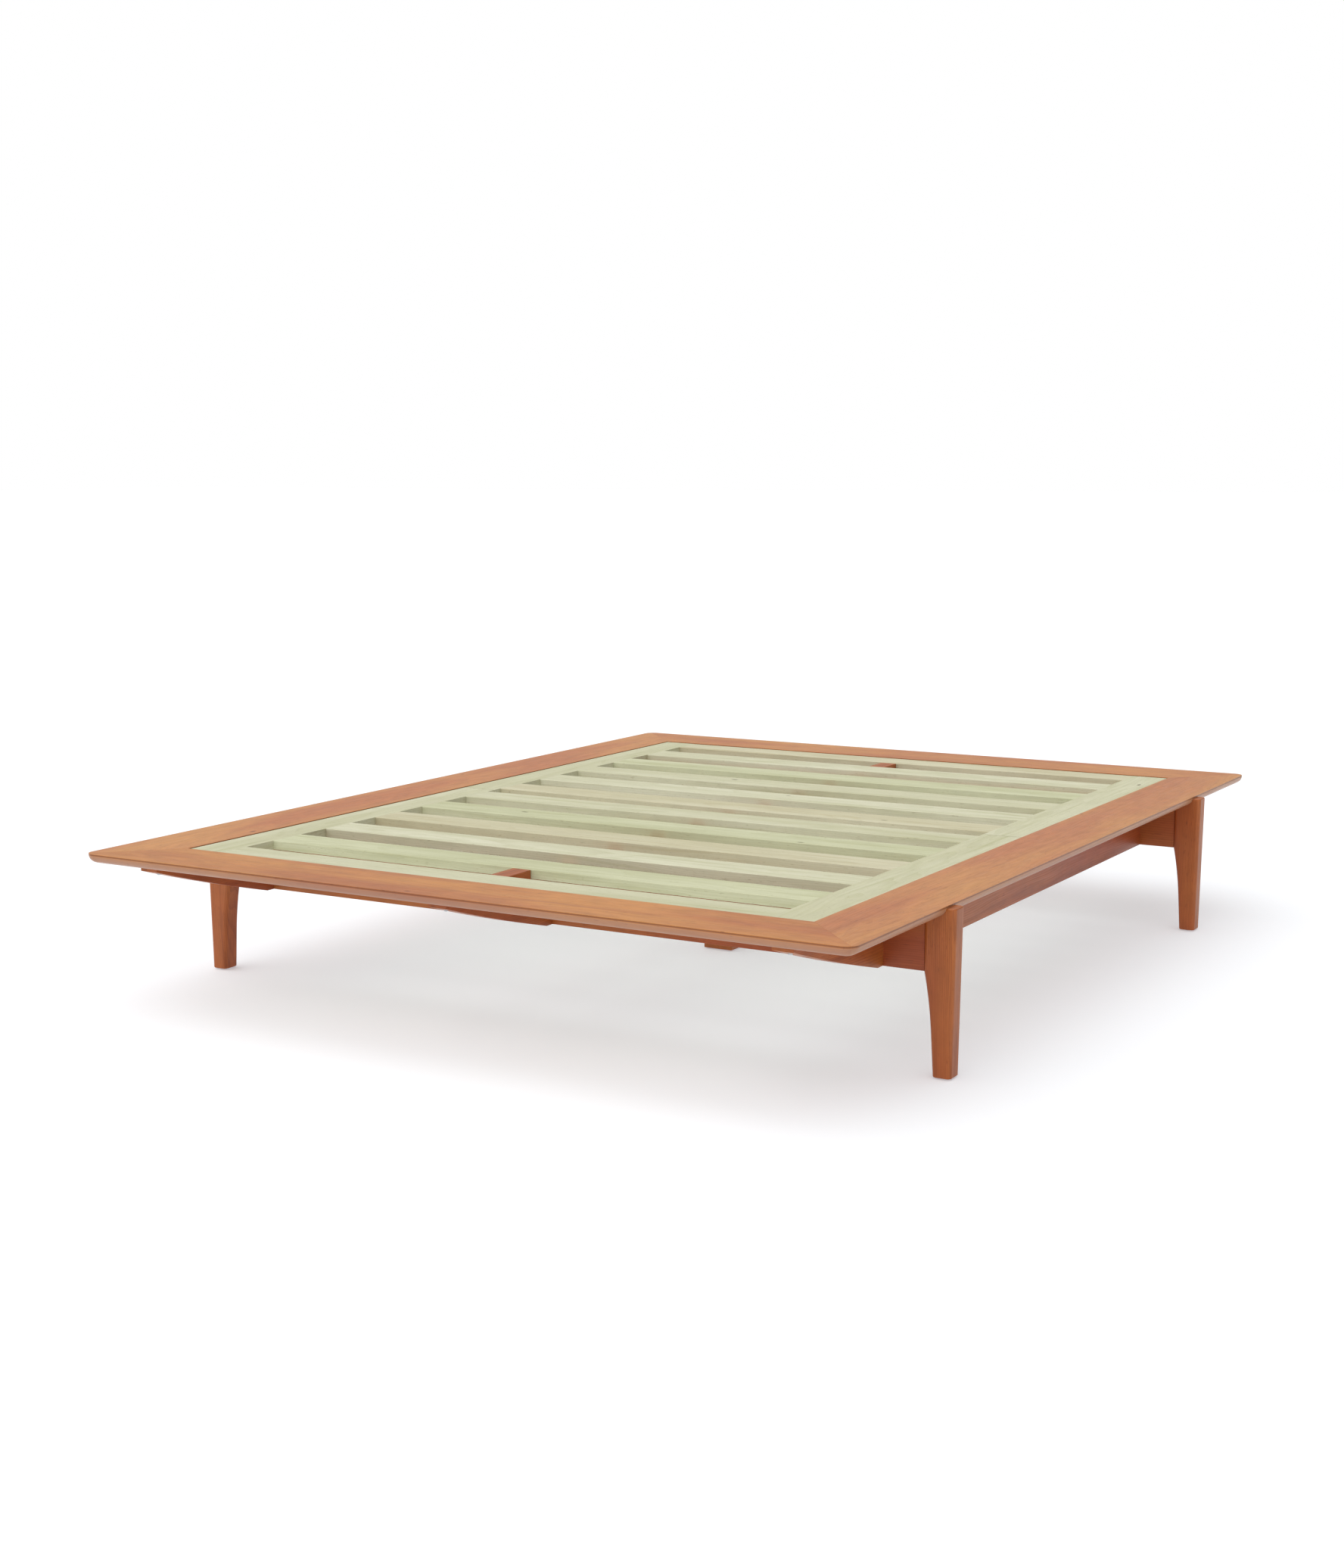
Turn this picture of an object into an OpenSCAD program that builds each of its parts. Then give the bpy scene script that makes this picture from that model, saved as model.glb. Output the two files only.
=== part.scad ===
// Low platform bed frame: a mitred top frame that overhangs its base, a slat deck in two halves,
// and a base of two leg-and-beam trestles, three long rails and a centre leg.
// Origin: on the floor under the middle of the bed. X is the width, the foot end is at -Y, Z is up.

/* [Mattress] */
// Width of the mattress that the deck carries
mattress_w = 1524; // [1350:2:1940]
// Length of the mattress that the deck carries
mattress_l = 2032; // [1980:2:2140]
// Clearance between the mattress and each side of the frame's opening
mattress_gap = 3; // [1:1:8]

/* [Top frame] */
// Height of the frame's top surface above the floor
height = 340; // [320:1:420]
// Width of the frame boards
board_w = 156; // [140:1:180]
// Thickness of the frame boards
board_t = 22; // [20:1:26]
// How far the rounded under-bevel runs in below the outer edge
bevel_in = 24; // [12:1:32]
// Height of the upright band above the under-bevel
edge_band = 3; // [1:0.5:6]
// Plan radius of the frame's corners
corner_r = 26; // [8:1:34]

/* [Slat deck] */
// Width of a slat
slat_w = 95; // [80:1:100]
// Width of the slat at the head and at the foot
end_slat_w = 85; // [70:1:95]
// Width of the deck's side stiles
stile_w = 92; // [70:1:110]
// How far the deck's top lies below the frame's top
lip = 2; // [1:0.5:4]
// Gap between the two middle slats, where the deck's halves meet
middle_gap = 56; // [30:1:80]

/* [Base] */
// Depth of the cross beams and of the long rails
rail_d = 110; // [100:1:125]
// Thickness of the long rails
rail_t = 45; // [40:1:50]
// Thickness of the cross beams
beam_t = 32; // [28:1:36]
// Distance from the middle of the bed to the middle of a cross beam
beam_y = 754; // [700:1:790]
// Distance from the middle of a cross beam to where a long rail starts to sweep up
sweep_start = 37; // [28:1:60]
// How far the long rails stop short of the frame's outer edge
tip_inset = 35; // [30:1:50]
// Depth of a long rail at its tip
tip_d = 10; // [8:1:16]

/* [Legs] */
// Thickness of a leg along the bed
leg_t = 44; // [40:1:50]
// How far a leg's top stands out past the frame's edge
leg_proud = 19; // [14:1:26]
// How far a leg's foot stands out past the frame's edge
foot_proud = 12; // [8:1:19]
// How far a leg's foot reaches in under the frame
foot_in = 27; // [22:1:34]
// How far a leg's shoulder reaches in under the frame
shoulder_in = 47; // [42:1:56]
// Drop from the frame's top to the leg's top
leg_drop = 5; // [3:1:10]
// Radius of the leg's upright corners
leg_r = 9; // [4:1:11]
// Width of the centre leg
post_w = 76; // [70:1:90]
// Thickness of the centre leg
post_t = 54; // [45:1:70]

/* [Hidden] */
$fn = 32;

open_x = mattress_w / 2 + mattress_gap;   // half the opening's width
open_y = mattress_l / 2 + mattress_gap;   // half the opening's length
edge_x = open_x + board_w;                // half the frame's width
edge_y = open_y + board_w;                // half the frame's length
seat_z = height - board_t;                // underside of the frame boards, top of the base
base_z = seat_z - rail_d;                 // underside of beams and rails
lap_z = (seat_z + base_z) / 2;            // level at which beams and rails are halved together
over = 20;                                // how far a cutting tool runs past what it cuts

slats_per_half = 6;
deck_t = board_t - lip;
deck_gap = 1;                             // clearance round each half of the deck
deck_x = open_x - deck_gap;
deck_y = open_y - deck_gap;
slat_x = deck_x - stile_w;
inner_slats = slats_per_half - 1;
slat_gap = (deck_y - end_slat_w - middle_gap / 2 - inner_slats * slat_w) / inner_slats;
tenon_t = 8;
tenon_l = 25;
tenon_shoulder = 6;

tip_y = edge_y - tip_inset;
sweep_y = beam_y + sweep_start;
sweep_sag = 3;                            // belly of the swept underside below a straight line

glide_h = 3;
glide_r = 11;
nail_r = 1.5;
nail_l = 15;
notch_gap = 1;                            // scribe line between a leg and the frame's edge
flare_z = 0.43 * base_z;                  // height at which a leg's inner face starts to flare
leg_taper = 0.055;                        // lean of the leg's inner face below the flare
leg_tenon_t = 12;
leg_tenon_l = 32;
leg_tenon_inset = 15;

mitre_dowel_r = 4;
mitre_dowel_l = 50;
mitre_dowel_at = 0.27 * board_w * sqrt(2);
draw_pocket_r = 15;
draw_pocket_d = 13;
draw_reach = 35;
draw_rod_r = 3;
draw_z = seat_z + draw_pocket_d / 2;       // a draw bolt lies half way up its pocket
screw_r = 2.4;
screw_head_r = 4.8;
screw_head_h = 3.5;
screw_head_gap = 0.4;                     // clearance round a screw's head in its well
screw_l = 35;
screw_z = seat_z - 18;                    // underside of the wood a screw's head pulls on
board_screw_in = [26, 91];                // a rail's two screws, from a board's inner edge
beam_screw_out = 67;                      // a beam's screw, from a board's inner edge
bolt_r = 4;
bolt_z = lap_z - rail_d / 4;
washer_r = 9;
washer_t = 1.6;
block_dowel_r = 4;
block_dowel_l = 24;

cherry = "#B9754A";
dark_cherry = "#9A5733";
poplar = "#CFD0AE";
steel = "#9DA0A3";
beech = "#D9B48A";
nylon = "#D8D3C8";

screw_points = concat(
    [for (x = [-open_x, 0, open_x], y = open_y * [1, 1] + board_screw_in, s = [-1, 1]) [x, s * y]],
    [for (x = [-1, 1], y = [-1, 1]) [x * (open_x + beam_screw_out), y * beam_y]],
    [for (x = [-1, 1], y = [-1, 0, 1]) [x * (open_x + rail_t / 4), y * beam_y / 2]]);
corners = [for (x = [-1, 1], y = [-1, 1]) [x, y]];

// ---------- helpers ----------

module box(low, high) translate(low) cube(high - low);

// A frame board's cross-section: u runs in from the outer edge, v up from the underside.
function board_section(grow = 0, steps = 10) = concat(
    [[-grow, board_t], [-grow, board_t - edge_band]],
    [for (i = [1 : steps]) let (a = 90 * i / steps)
        [bevel_in * (1 - cos(a)) - grow * cos(a), (board_t - edge_band) * (1 - sin(a))]],
    [[board_w, 0], [board_w, board_t]]);

// The section swept along Y, with its outer edge at +X.
module board_stock(edge, reach, grow = 0)
    translate([edge, reach, seat_z]) rotate([90, 0, 0])
        linear_extrude(2 * reach) mirror([1, 0]) polygon(board_section(grow));

// The frame's outline in plan, with rounded corners.
module frame_plan() {
    square([2 * (edge_x - corner_r), 2 * edge_y], center = true);
    square([2 * edge_x, 2 * (edge_y - corner_r)], center = true);
    for (c = corners)
        translate([c[0] * (edge_x - corner_r), c[1] * (edge_y - corner_r)]) circle(corner_r);
}

// The quarter of the plan that belongs to one board, cut at 45 degrees through both corners.
module mitre_plan(across, along) {
    a = across - over;
    b = along - over;
    c = board_w + 2 * over;
    polygon([[a, -b], [a + c, -b - c], [a + c, b + c], [a, b]]);
}

// Everything at a mitre is placed in its own frame: X across the joint, Y out along the mitre.
module at_mitre(c)
    translate([c[0] * (open_x + board_w / 2), c[1] * (open_y + board_w / 2), 0])
        rotate(-45 * c[0] * c[1]) children();

module mitre_dowel_set(grow = 0)
    for (c = corners, s = [-1, 1]) at_mitre(c)
        translate([0, s * mitre_dowel_at, seat_z + board_t / 2]) rotate([0, 90, 0])
            cylinder(r = mitre_dowel_r + grow, h = mitre_dowel_l + 2 * grow, center = true);

// Underside pockets for the draw bolts: two round wells joined by a slot.
module draw_pockets()
    for (c = corners) at_mitre(c) {
        for (s = [-1, 1]) translate([s * draw_reach, 0, seat_z - 1])
            cylinder(r = draw_pocket_r, h = draw_pocket_d + 1);
        box([-draw_reach, -draw_rod_r - 1, seat_z - 1], [draw_reach, draw_rod_r + 1, seat_z + draw_pocket_d]);
    }

module screw_shanks()
    for (p = screw_points) translate([p[0], p[1], screw_z]) cylinder(r = screw_r, h = screw_l);

// Clearance from below for the screw heads.
module screw_wells()
    for (p = screw_points) translate([p[0], p[1], 0])
        cylinder(r = screw_head_r + screw_head_gap, h = screw_z);

module frame_board(across, along, turn)
    difference() {
        intersection() {
            rotate(turn) board_stock(across + board_w, along + board_w);
            translate([0, 0, seat_z]) linear_extrude(board_t) frame_plan();
            translate([0, 0, seat_z]) linear_extrude(board_t) rotate(turn) mitre_plan(across, along);
        }
        mitre_dowel_set(0.1);
        draw_pockets();
        screw_shanks();
    }

// ---------- top frame ----------

module foot_frame_board() color(cherry) frame_board(open_y, open_x, -90);
module head_frame_board() color(cherry) frame_board(open_y, open_x, 90);
module left_frame_board() color(cherry) frame_board(open_x, open_y, 180);
module right_frame_board() color(cherry) frame_board(open_x, open_y, 0);

module mitre_dowels() color(beech) mitre_dowel_set();

module mitre_draw_bolts() color(steel)
    for (c = corners) at_mitre(c) translate([0, 0, draw_z]) rotate([0, 90, 0]) {
        translate([0, 0, -draw_reach]) cylinder(r = draw_rod_r, h = 2 * draw_reach + 6);
        translate([0, 0, -draw_reach - 4]) cylinder(r = 5.5, h = 4, $fn = 6);
    }

module mitre_draw_washers() color(steel)
    for (c = corners, s = [-1, 1]) at_mitre(c) translate([s * (draw_reach - 1.5), 0, draw_z])
        difference() {
            cube([3, 20, 12], center = true);
            rotate([0, 90, 0]) cylinder(r = draw_rod_r + 0.2, h = 8, center = true);
        }

module mitre_draw_nuts() color(steel)
    for (c = corners) at_mitre(c) translate([draw_reach, 0, draw_z]) rotate([0, 90, 0])
        difference() {
            cylinder(r = 5.8, h = 5, $fn = 6);
            translate([0, 0, -1]) cylinder(r = draw_rod_r + 0.05, h = 7);
        }

// ---------- base ----------

function leg_out(z) = foot_proud + (leg_proud - foot_proud) * z / (height - leg_drop);
function leg_in(z) =
    let (flare = shoulder_in - foot_in - leg_taper * base_z)
    z >= base_z ? shoulder_in
                : foot_in + leg_taper * z + flare * pow(max(0, z - flare_z) / (base_z - flare_z), 2);

// One level of a leg: a rounded rectangle, pulled in all round by inset.
function leg_ring(z, inset, steps = 4) =
    let (x0 = edge_x - leg_in(z) + inset, x1 = edge_x + leg_out(z) - inset, y1 = leg_t / 2 - inset)
    [for (q = [0 : 3], i = [0 : steps])
        let (a = 90 * q + 90 * i / steps,
             cx = (q == 0 || q == 3) ? x1 - leg_r : x0 + leg_r,
             cy = (q < 2) ? y1 - leg_r : leg_r - y1)
        [cx + leg_r * cos(a), cy + leg_r * sin(a), z]];

module leg_blank() {
    top = height - leg_drop;
    ease = 2.5;
    levels = concat([[glide_h, ease], [glide_h + ease, 0], [flare_z, 0]],
                    [for (i = [1 : 8]) [flare_z + (base_z - flare_z) * i / 8, 0]],
                    [[top - ease, 0], [top, ease]]);
    rings = [for (level = levels) leg_ring(level[0], level[1])];
    n = len(rings[0]);
    sides = [for (j = [0 : len(rings) - 2], i = [0 : n - 1])
        [j * n + i, (j + 1) * n + i, (j + 1) * n + (i + 1) % n, j * n + (i + 1) % n]];
    ends = [[for (i = [0 : n - 1]) i], [for (i = [n - 1 : -1 : 0]) (len(rings) - 1) * n + i]];
    polyhedron([for (ring = rings) each ring], concat(sides, ends), convexity = 4);
}

glide_x = edge_x + (foot_proud - foot_in) / 2;

// The right-hand leg of a trestle, standing at y = 0.
module leg()
    difference() {
        leg_blank();
        board_stock(edge_x, leg_t, notch_gap);
        translate([0, 0, board_t]) board_stock(edge_x, leg_t, notch_gap);
        leg_mortise();
        translate([glide_x, 0, 0]) cylinder(r = nail_r, h = glide_h + nail_l);
    }

module leg_mortise()
    box([edge_x - shoulder_in - 1, -leg_tenon_t / 2, base_z + leg_tenon_inset],
        [edge_x - shoulder_in + leg_tenon_l, leg_tenon_t / 2, seat_z - leg_tenon_inset]);

module place_leg(x, y) translate([0, y * beam_y, 0]) mirror([x < 0 ? 1 : 0, 0, 0]) leg();

module foot_left_leg() color(dark_cherry) place_leg(-1, -1);
module foot_right_leg() color(dark_cherry) place_leg(1, -1);
module head_left_leg() color(dark_cherry) place_leg(-1, 1);
module head_right_leg() color(dark_cherry) place_leg(1, 1);

module cross_beam(y) {
    x = edge_x - shoulder_in;
    t = x + leg_tenon_l - 0.5;
    difference() {
        union() {
            box([-x, y - beam_t / 2, base_z], [x, y + beam_t / 2, seat_z]);
            box([-t, y - leg_tenon_t / 2, base_z + leg_tenon_inset],
                [t, y + leg_tenon_t / 2, seat_z - leg_tenon_inset]);
        }
        for (r = [-open_x, 0, open_x])
            box([r - rail_t / 2, y - beam_t, lap_z], [r + rail_t / 2, y + beam_t, seat_z + 1]);
        screw_wells();
        screw_shanks();
    }
}

module foot_cross_beam() color(dark_cherry) cross_beam(-beam_y);
module head_cross_beam() color(dark_cherry) cross_beam(beam_y);

// Side view of a long rail: level in the middle, swept up to a thin tip at each end.
function rail_sweep(side, steps = 12) = [for (i = [0 : steps])
    let (s = i / steps, z = base_z + (seat_z - tip_d - base_z) * s - 4 * sweep_sag * s * (1 - s))
    [side * (sweep_y + (tip_y - sweep_y) * s), max(z, base_z)]];
function reverse(list) = [for (i = [len(list) - 1 : -1 : 0]) list[i]];

module long_rail(x)
    difference() {
        translate([x - rail_t / 2, 0, 0]) rotate([90, 0, 90]) linear_extrude(rail_t)
            polygon(concat([[tip_y, seat_z], [-tip_y, seat_z]],
                           reverse(rail_sweep(-1)), rail_sweep(1)));
        for (y = [-beam_y, beam_y])
            box([x - rail_t, y - beam_t / 2, base_z - 1], [x + rail_t, y + beam_t / 2, lap_z]);
        screw_wells();
        screw_shanks();
    }

module left_long_rail() color(dark_cherry) long_rail(-open_x);
module right_long_rail() color(dark_cherry) long_rail(open_x);
module centre_long_rail() color(dark_cherry)
    difference() {
        long_rail(0);
        block_dowel_set(0.1);
        translate([0, 0, bolt_z]) rotate([0, 90, 0])
            cylinder(r = bolt_r + 0.2, h = 2 * rail_t, center = true);
    }

module frame_screws() color(steel)
    for (p = screw_points) translate([p[0], p[1], screw_z]) {
        cylinder(r = screw_r, h = screw_l);
        translate([0, 0, -screw_head_h]) cylinder(r = screw_head_r, h = screw_head_h);
    }

block_y = deck_y - end_slat_w - slat_gap / 2;
block_l = slat_gap - 1;
block_h = deck_t - 1;

module block_dowel_set(grow = 0)
    for (y = [-1, 1], s = [-1, 1]) translate([0, y * block_y + s * block_l / 4, seat_z])
        cylinder(r = block_dowel_r + grow, h = block_dowel_l + 2 * grow, center = true);

module locating_block(y)
    difference() {
        box([-rail_t / 2, y * block_y - block_l / 2, seat_z],
            [rail_t / 2, y * block_y + block_l / 2, seat_z + block_h]);
        block_dowel_set(0.1);
    }

module foot_locating_block() color(dark_cherry) locating_block(-1);
module head_locating_block() color(dark_cherry) locating_block(1);
module block_dowels() color(beech) block_dowel_set();

// ---------- slat deck ----------

// Outer edge of slat i of one half, counted in from the end of the bed.
function slat_far(i) = i == 0 ? deck_y : deck_y - end_slat_w - slat_gap - (i - 1) * (slat_w + slat_gap);
function slat_width(i) = i == 0 ? end_slat_w : slat_w;

module slat_tenon(i, x0, x1, grow = 0) {
    z = seat_z + deck_t / 2;
    far = slat_far(i) - tenon_shoulder;
    near = slat_far(i) - slat_width(i) + tenon_shoulder;
    box([x0, near - grow, z - tenon_t / 2], [x1, far + grow, z + tenon_t / 2]);
}

module slat(i, side)
    mirror([0, side < 0 ? 1 : 0, 0]) {
        box([-slat_x, slat_far(i) - slat_width(i), seat_z], [slat_x, slat_far(i), seat_z + deck_t]);
        slat_tenon(i, -slat_x - tenon_l, slat_x + tenon_l);
    }

module stile(x, side)
    mirror([x < 0 ? 1 : 0, 0, 0]) mirror([0, side < 0 ? 1 : 0, 0])
        difference() {
            box([slat_x, deck_gap, seat_z], [deck_x, deck_y, seat_z + deck_t]);
            for (i = [0 : slats_per_half - 1]) slat_tenon(i, slat_x - 1, slat_x + tenon_l + 0.5, 0.2);
        }

module foot_left_stile() color(poplar) stile(-1, -1);
module foot_right_stile() color(poplar) stile(1, -1);
module head_left_stile() color(poplar) stile(-1, 1);
module head_right_stile() color(poplar) stile(1, 1);

// Slats are numbered from the foot: 1 to 6 in the foot half, 7 to 12 in the head half.
module numbered_slat(n) color(poplar)
    if (n <= slats_per_half) slat(n - 1, -1);
    else slat(2 * slats_per_half - n, 1);

// ---------- centre leg and glides ----------

module centre_leg() color(dark_cherry)
    difference() {
        box([-post_w / 2, -post_t / 2, glide_h], [post_w / 2, post_t / 2, lap_z]);
        box([-rail_t / 2, -post_t, base_z], [rail_t / 2, post_t, seat_z]);
        translate([0, 0, bolt_z]) rotate([0, 90, 0])
            cylinder(r = bolt_r + 0.2, h = 2 * post_w, center = true);
        cylinder(r = nail_r, h = glide_h + nail_l);
    }

module centre_leg_bolt() color(steel) translate([0, 0, bolt_z]) rotate([0, 90, 0]) {
    translate([0, 0, -post_w / 2 - washer_t]) cylinder(r = bolt_r, h = post_w + 2 * washer_t + 9);
    translate([0, 0, -post_w / 2 - washer_t - 5]) cylinder(r = 7.5, h = 5, $fn = 6);
}

module centre_leg_washers() color(steel)
    for (s = [-1, 1]) translate([s * (post_w + washer_t) / 2, 0, bolt_z]) rotate([0, 90, 0])
        difference() {
            cylinder(r = washer_r, h = washer_t, center = true);
            cylinder(r = bolt_r + 0.2, h = 2 * washer_t, center = true);
        }

module centre_leg_nut() color(steel)
    translate([post_w / 2 + washer_t, 0, bolt_z]) rotate([0, 90, 0])
        difference() {
            cylinder(r = 7.5, h = 6.5, $fn = 6);
            translate([0, 0, -1]) cylinder(r = bolt_r + 0.05, h = 9);
        }

module glide() {
    cylinder(r = glide_r, h = glide_h);
    cylinder(r = nail_r, h = glide_h + nail_l);
}

module leg_glides() color(nylon)
    for (c = corners) translate([c[0] * glide_x, c[1] * beam_y, 0]) glide();
module centre_leg_glide() color(nylon) glide();

// ---------- assembly ----------

foot_frame_board();
head_frame_board();
left_frame_board();
right_frame_board();
mitre_dowels();
mitre_draw_bolts();
mitre_draw_washers();
mitre_draw_nuts();
foot_left_leg();
foot_right_leg();
head_left_leg();
head_right_leg();
foot_cross_beam();
head_cross_beam();
left_long_rail();
centre_long_rail();
right_long_rail();
foot_locating_block();
head_locating_block();
block_dowels();
frame_screws();
foot_left_stile();
foot_right_stile();
head_left_stile();
head_right_stile();
numbered_slat(1);  // slat_01
numbered_slat(2);  // slat_02
numbered_slat(3);  // slat_03
numbered_slat(4);  // slat_04
numbered_slat(5);  // slat_05
numbered_slat(6);  // slat_06
numbered_slat(7);  // slat_07
numbered_slat(8);  // slat_08
numbered_slat(9);  // slat_09
numbered_slat(10);  // slat_10
numbered_slat(11);  // slat_11
numbered_slat(12);  // slat_12
centre_leg();
centre_leg_bolt();
centre_leg_washers();
centre_leg_nut();
leg_glides();
centre_leg_glide();
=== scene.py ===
# %% [markdown]
# # A platform bed in cherry and poplar
# The real bed is a workshop piece: a mitred cherry frame with a rounded under-bevel, notched
# legs that stand a little proud of it, a base of halved beams and rails, and a poplar slat deck.
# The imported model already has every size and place, so each piece is rebuilt around its node's
# box with bmesh operators, and gets a solid-wood material that runs through it like real timber.

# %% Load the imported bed
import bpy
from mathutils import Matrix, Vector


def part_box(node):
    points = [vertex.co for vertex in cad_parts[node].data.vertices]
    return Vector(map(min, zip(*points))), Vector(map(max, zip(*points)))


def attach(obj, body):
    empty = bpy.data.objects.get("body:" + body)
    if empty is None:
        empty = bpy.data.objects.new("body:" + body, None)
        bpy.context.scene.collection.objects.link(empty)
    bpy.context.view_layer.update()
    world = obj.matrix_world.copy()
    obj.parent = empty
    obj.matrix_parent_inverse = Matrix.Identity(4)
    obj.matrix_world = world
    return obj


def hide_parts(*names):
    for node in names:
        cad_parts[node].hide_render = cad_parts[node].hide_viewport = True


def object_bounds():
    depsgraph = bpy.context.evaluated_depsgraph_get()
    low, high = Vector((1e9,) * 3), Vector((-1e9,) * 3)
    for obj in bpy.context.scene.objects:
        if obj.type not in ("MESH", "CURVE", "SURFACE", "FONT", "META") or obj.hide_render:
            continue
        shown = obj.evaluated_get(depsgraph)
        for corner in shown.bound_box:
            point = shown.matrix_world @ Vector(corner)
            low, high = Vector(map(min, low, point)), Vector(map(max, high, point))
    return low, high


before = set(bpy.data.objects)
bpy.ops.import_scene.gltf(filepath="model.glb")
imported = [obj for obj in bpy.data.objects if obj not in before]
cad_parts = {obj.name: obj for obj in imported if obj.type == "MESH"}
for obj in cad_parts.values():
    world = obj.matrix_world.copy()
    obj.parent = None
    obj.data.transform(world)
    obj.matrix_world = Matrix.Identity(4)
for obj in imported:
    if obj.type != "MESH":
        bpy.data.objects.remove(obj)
cad_low, cad_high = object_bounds()
print("bed, width x length x height in metres:", [round(x, 3) for x in cad_high - cad_low])

# %% Tools of the lesson
import math
import bmesh
import bpy
from mathutils import Matrix, Vector

MM = 0.001
SAME = 1e-6  # two places closer than this, in metres, are the same place

# %% [markdown]
# ## Helpers for solid pieces
# A joiner squares a blank, cuts its joints and then eases the sharp edges with a plane. The
# helpers do the same: a block from create_cube or a sawn outline pushed to a thickness, a Boolean
# for the cuts, and a bevel that rounds only the outward edges.

# %% A squared block
def block(low, high):
    """A rectangular blank between two corners."""
    bm = bmesh.new()
    low, high = Vector(low), Vector(high)
    bmesh.ops.create_cube(bm, size=1)
    bmesh.ops.scale(bm, vec=high - low, verts=bm.verts)
    bmesh.ops.translate(bm, vec=(low + high) / 2, verts=bm.verts)
    return bm


# %% A sawn outline
def sawn(outline, thickness):
    """An outline of points, pushed along a vector to its thickness."""
    bm = bmesh.new()
    face = bm.faces.new([bm.verts.new(point) for point in outline])
    pushed = bmesh.ops.extrude_face_region(bm, geom=[face])["geom"]
    bmesh.ops.translate(bm, vec=thickness, verts=[v for v in pushed if isinstance(v, bmesh.types.BMVert)])
    bmesh.ops.recalc_face_normals(bm, faces=bm.faces)
    return bm


# %% Eased edges
def ease(bm, radius, segments=2, chosen=None, least_angle=30):
    """Rounds the outward edges sharper than least_angle, or only those that chosen() picks."""
    edges = [e for e in bm.edges if e.is_manifold and e.is_convex
             and e.calc_face_angle() > math.radians(least_angle) and (chosen is None or chosen(e))]
    bmesh.ops.bevel(bm, geom=edges, offset=radius, offset_type="OFFSET", segments=segments,
                    profile=0.5, affect="EDGES", material=-1, clamp_overlap=True)
    return bm


# %% A cut with a tool
def carve(bm, tool):
    """Takes the tool's shape out of the piece with the exact Boolean."""
    pair = []
    for shape in (bm, tool):
        bmesh.ops.recalc_face_normals(shape, faces=shape.faces)
        mesh = bpy.data.meshes.new("carving")
        shape.to_mesh(mesh)
        shape.free()
        pair.append(bpy.data.objects.new("carving", mesh))
        bpy.context.scene.collection.objects.link(pair[-1])
    cut = pair[0].modifiers.new("cut", "BOOLEAN")
    cut.operation = "DIFFERENCE"
    cut.solver = "EXACT"
    cut.object = pair[1]
    evaluated = pair[0].evaluated_get(bpy.context.evaluated_depsgraph_get())
    result = bmesh.new()
    result.from_mesh(evaluated.to_mesh())
    evaluated.to_mesh_clear()
    for made in pair:
        bpy.data.meshes.remove(made.data)
    bmesh.ops.remove_doubles(result, verts=result.verts, dist=0.001 * MM)
    return result


# %% A round tool
def round_tool(x, y, low, high, radius, segments=32):
    """An upright cylinder for wells and holes."""
    bm = bmesh.new()
    bmesh.ops.create_cone(bm, cap_ends=True, segments=segments, radius1=radius, radius2=radius,
                          depth=high - low, matrix=Matrix.Translation((x, y, (low + high) / 2)))
    return bm


# %% A finished piece
SHARP_FROM = math.radians(35)  # edges turned by more than this stay crisp in the shading
pieces_made = []


def finish_piece(name, bm, finish, slot, *nodes):
    """Turns the bmesh into an object that rides on the bed and stands for its CAD nodes."""
    bmesh.ops.recalc_face_normals(bm, faces=bm.faces)
    if bm.calc_volume(signed=True) < 0:
        bmesh.ops.reverse_faces(bm, faces=bm.faces)
    open_edges = sum(not e.is_manifold for e in bm.edges)
    volume = bm.calc_volume(signed=True)
    mesh = bpy.data.meshes.new(name)
    bm.to_mesh(mesh)
    bm.free()
    mesh.shade_smooth()
    mesh.set_sharp_from_angle(angle=SHARP_FROM)
    mesh.materials.append(finish)
    made = bpy.data.objects.new(name, mesh)
    bpy.context.scene.collection.objects.link(made)
    made.modifiers.new("even shading", "WEIGHTED_NORMAL").keep_sharp = True
    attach(made, "root")
    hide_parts(*nodes)
    pieces_made.append(made)
    print(f"{name}: {len(mesh.polygons)} faces, {volume * 1e6:.1f} cm3, open edges {open_edges}")
    return made


# %% [markdown]
# ## Colours and nodes
# Colours are written as the hex values a screen shows. Shaders work in linear light, so one
# function converts them, and one small function adds a node with its settings and links.

# %% Hex to linear
def colour(hex_value):
    """#RRGGBB as the opaque linear colour that a shader reads."""
    channels = [int(hex_value[i:i + 2], 16) / 255 for i in (1, 3, 5)]
    return (*[c / 12.92 if c <= 0.04045 else ((c + 0.055) / 1.055) ** 2.4 for c in channels], 1.0)


# %% One node with its settings and links
def add(material, kind, inputs=None, stops=None, **settings):
    """Adds a node. A value in inputs is a number, a colour, or the output of another node."""
    tree = material.node_tree
    made = tree.nodes.new(kind)
    for setting, value in settings.items():
        setattr(made, setting, value)
    for socket, value in (inputs or {}).items():
        if isinstance(value, bpy.types.NodeSocket):
            tree.links.new(value, made.inputs[socket])
        else:
            made.inputs[socket].default_value = value
    for place, stop in enumerate(stops or []):
        elements = made.color_ramp.elements
        element = elements[place] if place < 2 else elements.new(stop[0])
        element.position = stop[0]
        element.color = stop[1]
    return made


# %% An empty material
def new_material(name):
    """A material with nothing in it but its output."""
    made = bpy.data.materials.new(name)
    made.use_nodes = True
    made.node_tree.nodes.clear()
    return made


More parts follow.
